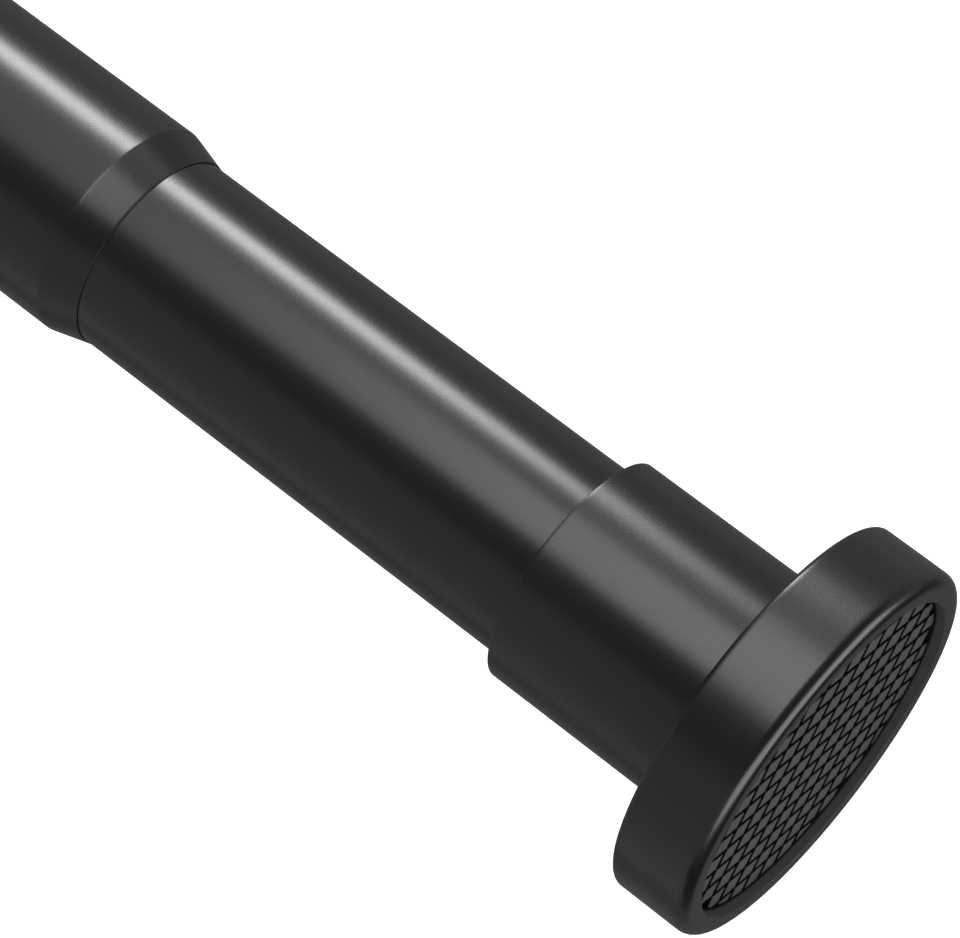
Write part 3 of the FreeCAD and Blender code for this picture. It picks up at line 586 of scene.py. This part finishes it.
def threadRadius(thread):
    # a thread's radius round the section: a wave cut off flat at root and crest. Swing and shift set the
    # crest's width, and flank the slope of its sides.
    def radiusAt(angle):
        wave = thread["swing"] * math.cos(thread["starts"] * angle) + thread["shift"]
        share = min(1, max(0, 0.5 + thread["flank"] * wave))
        return thread["root"] + (thread["crest"] - thread["root"]) * share
    return radiusAt


def threadedRun(bm, ring, start, turns, inward, thread):
    # one turn is spun from the ring, right-handed, and copied along by its lead
    ring = nextRing(bm, ring, start, threadRadius(thread))
    before = set(bm.faces)
    last = bmesh.ops.spin(bm, geom=vertsOf(ring) + ring, cent=(0, 0, 0), axis=axisX,
                          dvec=(inward * thread["lead"] / thread["steps"], 0, 0), angle=inward * math.tau,
                          steps=thread["steps"], use_duplicate=False)["geom_last"]
    last = onlyEdges(last)
    turn = [face for face in bm.faces if face not in before]
    edges = {edge for face in turn for edge in face.edges}
    verts = {vert for face in turn for vert in face.verts}
    for count in range(1, turns):
        copied = bmesh.ops.duplicate(bm, geom=turn + list(edges) + list(verts))
        slid(bm, onlyVerts(copied["geom"]), inward * thread["lead"] * count)
        ends = [copied["edge_map"][edge] for edge in last] if count == turns - 1 else None
    return ends if turns > 1 else last


spindle = {"radius": 4.0, "chamfer": 0.8, "turns": 35, "runIn": 0.8, "pinAt": 4.5, "pinRadius": 1.55,
           "section": 42, "thread": {"root": 3.3, "crest": 4.0, "starts": 3, "lead": 6.0, "swing": 1.0,
                                     "shift": 0.0, "flank": 1.3, "steps": 24}}


def makeSpindle(size):
    start, end = spanOf("threaded_spindle")
    radius, tip = size["radius"], size["radius"] - size["chamfer"]
    bm = bmesh.new()
    ring = ringAt(bm, start, tip, size["section"])
    closed(bm, ring)
    ring = nextRing(bm, ring, start + size["chamfer"], lambda angle: radius)
    threadStart = end - size["chamfer"] - size["turns"] * size["thread"]["lead"]
    ring = nextRing(bm, ring, threadStart - size["runIn"], lambda angle: radius)
    ring = threadedRun(bm, ring, threadStart, size["turns"], 1, size["thread"])
    ring = nextRing(bm, ring, end, lambda angle: tip)
    closed(bm, ring)
    piece = newPiece("spindleThread", bm)
    withBoolean(piece, crossRod(start + size["pinAt"], size["pinRadius"], radius * 4), "DIFFERENCE")
    dressed(piece, "threaded_spindle", "spindle", materials["zincSteel"], 35)


capScrew = {"head": 3.8, "headHeight": 2.2, "dome": 0.733, "domeSteps": 4, "crown": 0.35, "shank": 2.0,
            "runIn": 0.2, "tip": 1.0, "tipLength": 2.0, "slot": 1.9, "slotWidth": 0.75, "slotDepth": 1.3,
            "slotNarrow": 0.45, "slotTurn": 25.0, "section": 30, "turns": 8,
            "thread": {"root": 1.45, "crest": 2.0, "starts": 1, "lead": 1.4, "swing": 1.6, "shift": -0.9,
                       "flank": 1.3, "steps": 26}}


def crossRecess(head, outward, size):
    # two crossed wedges that make the driver's recess
    bm = bmesh.new()
    for turn in (size["slotTurn"], size["slotTurn"] + 90):
        made = bmesh.ops.create_cube(bm, size=1)["verts"]
        bmesh.ops.scale(bm, vec=(size["slotDepth"] * 2, size["slotWidth"], size["slot"] * 2), verts=made)
        for vert in made:
            if (vert.co.x > 0) == (outward < 0):
                vert.co.z *= size["slotNarrow"]
        rotated(bm, made, turn, "X")
    slid(bm, bm.verts[:], head)
    return bm


def makeCapScrew(name, node, body, size, head, inward):
    # head is the top of the screw's head, and inward the way its shank points
    end = max(spanOf(node), key=lambda along: abs(along - head))
    bm = bmesh.new()
    ring = ringAt(bm, head, size["head"] * size["crown"], size["section"])
    closed(bm, ring)
    for step in range(1, size["domeSteps"] + 1):
        lean = step / size["domeSteps"] * math.pi / 2
        across = size["head"] * (size["crown"] + (1 - size["crown"]) * math.sin(lean))
        ring = nextRing(bm, ring, head + inward * size["dome"] * (1 - math.cos(lean)), lambda angle: across)
    ring = nextRing(bm, ring, head + inward * size["headHeight"], lambda angle: size["head"])
    ring = nextRing(bm, ring, head + inward * size["headHeight"], lambda angle: size["shank"])
    threadStart = end - inward * (size["tipLength"] + size["turns"] * size["thread"]["lead"])
    ring = nextRing(bm, ring, threadStart - inward * size["runIn"], lambda angle: size["shank"])
    ring = threadedRun(bm, ring, threadStart, size["turns"], inward, size["thread"])
    ring = nextRing(bm, ring, end, lambda angle: size["tip"])
    closed(bm, ring)
    screw = newPiece(name, bm)
    withBoolean(screw, crossRecess(head, -inward, size), "DIFFERENCE", True)
    dressed(screw, node, body, materials["zincSteel"], 35)


makeSpindle(spindle)
makeCapScrew("fixedScrew", "fixed_cap_screw", "outer", capScrew, spanOf("fixed_cap_screw")[0], 1)
makeCapScrew("movingScrew", "moving_cap_screw", "inner", capScrew, spanOf("moving_cap_screw")[1], -1)
print("threads done")


# nuts with chamfered corners, and washers with eased edges

hexNuts = {
    "rodNut": {"node": "guide_rod_nut", "body": "outer", "across": 8.0, "bore": 2.55},
    "stopNut": {"node": "stop_nut", "body": "spindle", "across": 13.0, "bore": 4.05},
    "travellingNut": {"node": "spindle_nut", "body": "inner", "across": 13.0, "bore": 4.08},
}
washers = {
    "rodWasher": {"node": "guide_rod_washer", "body": "outer", "radius": 5.8, "bore": 2.55},
    "stopWasher": {"node": "stop_washer", "body": "spindle", "radius": 9.0, "bore": 4.05},
}
# the nuts' faces reach to a share of their flats, and their chamfers run down a share of the corners
hardware = {"flatShare": 0.96, "dropShare": 0.6, "washerBack": 0.25, "washerFront": 0.12, "washerBore": 0.1,
            "steps": 96}


def makeHexNut(name, node, body, across, bore):
    start, end = spanOf(node)
    corner = across / math.sqrt(3)
    bm = bmesh.new()
    made = bmesh.ops.create_circle(bm, cap_ends=True, radius=corner, segments=6)["verts"]
    rotated(bm, made, 90, "Y")
    slid(bm, made, start)
    raised = bmesh.ops.extrude_face_region(bm, geom=bm.faces[:])["geom"]
    slid(bm, onlyVerts(raised), end - start)
    nut = newPiece(name, bm)
    flat, drop = across / 2 * hardware["flatShare"], (corner - across / 2) * hardware["dropShare"]
    dome = [(start, bore), (start, flat), (start + drop, corner), (end - drop, corner), (end, flat), (end, bore)]
    withBoolean(nut, outlineSpun(dome, {}, hardware["steps"]), "INTERSECT")
    dressed(nut, node, body, materials["zincSteel"], 20)


def makeWasher(name, node, body, radius, bore):
    start, end = spanOf(node)
    outline = [(start, radius), (end, radius), (end, bore), (start, bore)]
    rounds = {0: hardware["washerBack"], 1: hardware["washerFront"], 2: hardware["washerBore"],
              3: hardware["washerBore"]}
    washer = newPiece(name, outlineSpun(outline, rounds, hardware["steps"], 3))
    dressed(washer, node, body, materials["zincSteel"], 35)


for name, facts in hexNuts.items():
    makeHexNut(name, **facts)
for name, facts in washers.items():
    makeWasher(name, **facts)
print("nuts and washers done")


# the CAD nodes that stay as they are take their finish here

keptNodes = {
    "zincSteel": ["anchor_pin", "guide_rod", "spindle_collar", "spindle_pin", "left_plug_rivet",
                  "right_plug_rivet"],
    "springWire": ["bush_clip"],
    "plugNylon": ["anchor_plug", "plunger", "nut_plug", "moving_tube_plug"],
    "bushNylon": ["guide_bush"],
}
for finish, names in keptNodes.items():
    for name in names:
        for materialSlot in nodes[name].material_slots:
            materialSlot.material = materials[finish]
print("CAD nodes dressed")


# floor, world, lamps and cards

studio = {"floorDrop": 0.35, "floorSize": 12.0, "floorColour": 0.78, "backdropGlow": 0.52, "worldFill": 0.70}


def seenDirectly(tree, link):
    # 1 for what the camera sees straight, in a gloss or through a clear thing
    path = tree.new("ShaderNodeLightPath")
    first = tree.new("ShaderNodeMath")
    first.operation = "ADD"
    link(path.outputs["Is Camera Ray"], first.inputs[0])
    link(path.outputs["Is Glossy Ray"], first.inputs[1])
    both = tree.new("ShaderNodeMath")
    both.operation = "ADD"
    both.use_clamp = True
    link(first.outputs[0], both.inputs[0])
    link(path.outputs["Is Transmission Ray"], both.inputs[1])
    return both.outputs[0]


def makeFloor(size):
    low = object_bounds()[0]
    bm = bmesh.new()
    bmesh.ops.create_grid(bm, x_segments=1, y_segments=1, size=size["floorSize"] / 2 / mm)
    bmesh.ops.translate(bm, vec=(rodMiddle, 0, (low.z - size["floorDrop"]) / mm), verts=bm.verts[:])
    floor = newPiece("floor", bm)
    material = bpy.data.materials.new("paleFloor")
    tree, link = bareTree(material)
    plain = tree.new("ShaderNodeBsdfDiffuse")
    plain.inputs["Color"].default_value = (size["floorColour"],) * 3 + (1,)
    glow = tree.new("ShaderNodeEmission")
    glow.inputs["Strength"].default_value = size["backdropGlow"]
    lit = tree.new("ShaderNodeAddShader")
    link(plain.outputs[0], lit.inputs[0])
    link(glow.outputs[0], lit.inputs[1])
    chosen = tree.new("ShaderNodeMixShader")
    link(seenDirectly(tree, link), chosen.inputs["Fac"])
    link(plain.outputs[0], chosen.inputs[1])
    link(lit.outputs[0], chosen.inputs[2])
    out = tree.new("ShaderNodeOutputMaterial")
    link(chosen.outputs[0], out.inputs["Surface"])
    floor.data.materials.append(material)
    floor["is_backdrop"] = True


def makeWorld(size):
    world = bpy.data.worlds.new("whiteRoom")
    bpy.context.scene.world = world
    tree, link = bareTree(world)
    fill = tree.new("ShaderNodeBackground")
    fill.inputs["Strength"].default_value = size["worldFill"]
    white = tree.new("ShaderNodeBackground")
    white.inputs["Strength"].default_value = 1.0
    for background in (fill, white):
        background.inputs["Color"].default_value = (1, 1, 1, 1)
    chosen = tree.new("ShaderNodeMixShader")
    link(seenDirectly(tree, link), chosen.inputs["Fac"])
    link(fill.outputs[0], chosen.inputs[1])
    link(white.outputs[0], chosen.inputs[2])
    out = tree.new("ShaderNodeOutputWorld")
    link(chosen.outputs[0], out.inputs["Surface"])


# lamps: where each stands, what it faces, its length and width, and how bright it looks
lamps = {
    "stripLamp": {"at": (-0.20, 0.853, 0.694), "faces": (-0.20, 0, 0), "size": (0.617, 0.29), "bright": 17.0},
    "topLamp": {"at": (0.305, -0.023, 1.05), "faces": (0.305, -0.023, 0), "size": (0.49, 0.8125), "bright": 3.30},
}

# plain cards, seen only in gloss, that keep the white room out of the rod's sides: each is flat between
# two opposite corners, and bright as given. The end cards stand beyond the moving wall face, and the
# rear card beyond the fixed one.
cards = {
    "frontCard": {"low": (-2.5, -0.8, -0.34), "high": (2.5, -0.8, 0.493), "bright": 0.411},
    "upperCard": {"low": (-2.5, -0.8, 0.493), "high": (2.5, -0.8, 2.2), "bright": 0.106},
    "nearCard": {"low": (-2.5, -0.8, -0.34), "high": (2.5, -0.27, -0.34), "bright": 0.424},
    "farCard": {"low": (-2.5, -0.27, -0.34), "high": (2.5, 0.8, -0.34), "bright": 0.179},
    "backCard": {"low": (-2.5, 0.8, -0.34), "high": (2.5, 0.8, 0.485), "bright": 0.273},
    "rearCard": {"low": (-2.0, -0.8, -0.34), "high": (-2.0, 0.8, 1.6), "bright": 0.03},
    "endCard": {"low": (1.2, -0.7, -0.21), "high": (1.2, 0.9, 0.31), "bright": 4.4},
    "endLowerCard": {"low": (1.2, -0.8, -0.335), "high": (1.2, 0.9, -0.21), "bright": 0.02},
    "endFloor": {"low": (0.66, -0.8, -0.335), "high": (1.2, 0.9, -0.335), "bright": 0.02},
    "endUpperCard": {"low": (1.2, -0.8, 0.31), "high": (1.2, 0.9, 1.07), "bright": 0.04},
    "endRoof": {"low": (0.56, -0.8, 1.07), "high": (1.2, 0.9, 1.07), "bright": 0.04},
    "endBackCard": {"low": (0.56, 0.79, 0.31), "high": (1.2, 0.79, 1.07), "bright": 0.04},
}


def makeLamp(name, lamp):
    light = bpy.data.lights.new(name, "AREA")
    light.shape = "RECTANGLE"
    light.size, light.size_y = lamp["size"]
    light.energy = lamp["bright"] * math.pi * light.size * light.size_y
    holder = bpy.data.objects.new(name, light)
    bpy.context.scene.collection.objects.link(holder)
    back = (Vector(lamp["at"]) - Vector(lamp["faces"])).normalized()
    along = (axisX - back * axisX.dot(back)).normalized()
    turned = Matrix((along, back.cross(along), back)).transposed().to_4x4()
    holder.matrix_world = Matrix.Translation(lamp["at"]) @ turned
    holder.visible_camera = False


def makeCard(name, card):
    bm = bmesh.new()
    low, high = card["low"], card["high"]
    first, second = [axis for axis in range(3) if low[axis] != high[axis]]
    corners = [Vector(low) for corner in range(4)]
    for i, axis in ((1, first), (2, first), (2, second), (3, second)):
        corners[i][axis] = high[axis]
    bm.faces.new([bm.verts.new(corner / mm) for corner in corners])
    piece = newPiece(name, bm)
    material = bpy.data.materials.new(name + "Paper")
    tree, link = bareTree(material)
    glow = tree.new("ShaderNodeEmission")
    glow.inputs["Strength"].default_value = card["bright"]
    out = tree.new("ShaderNodeOutputMaterial")
    link(glow.outputs[0], out.inputs["Surface"])
    piece.data.materials.append(material)
    piece.visible_camera = False
    piece.visible_diffuse = False
    piece.visible_transmission = False
    piece.visible_shadow = False
    piece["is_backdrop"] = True


makeFloor(studio)
makeWorld(studio)
for name, lamp in lamps.items():
    makeLamp(name, lamp)
for name, card in cards.items():
    makeCard(name, card)
print("studio done")


# the camera stands where the photograph's stood, beyond the moving end

camera = {"azimuth": 40.650, "elevation": 60.878, "lens": 162.11, "sensor": 36.0,
          "offset": (-0.037188, 0.031476, 0.466164)}


def makeCamera(view):
    turn, lift = math.radians(view["azimuth"]), math.radians(view["elevation"])
    right = Vector((math.cos(turn), math.sin(turn), 0))
    back = Vector((math.sin(turn) * math.cos(lift), -math.cos(turn) * math.cos(lift), math.sin(lift)))
    up = back.cross(right)
    data = bpy.data.cameras.new("camera")
    data.lens, data.sensor_width, data.sensor_fit = view["lens"], view["sensor"], "HORIZONTAL"
    data.clip_start, data.clip_end = 0.01, 50
    holder = bpy.data.objects.new("camera", data)
    bpy.context.scene.collection.objects.link(holder)
    target = Vector((wallFaces["moving"] * mm, 0, 0))
    rightward, upward, backward = view["offset"]
    place = target + right * rightward + up * upward + back * backward
    holder.matrix_world = Matrix.Translation(place) @ Matrix((right, up, back)).transposed().to_4x4()
    bpy.context.scene.camera = holder


makeCamera(camera)
bpy.context.scene.view_settings.view_transform = "Standard"
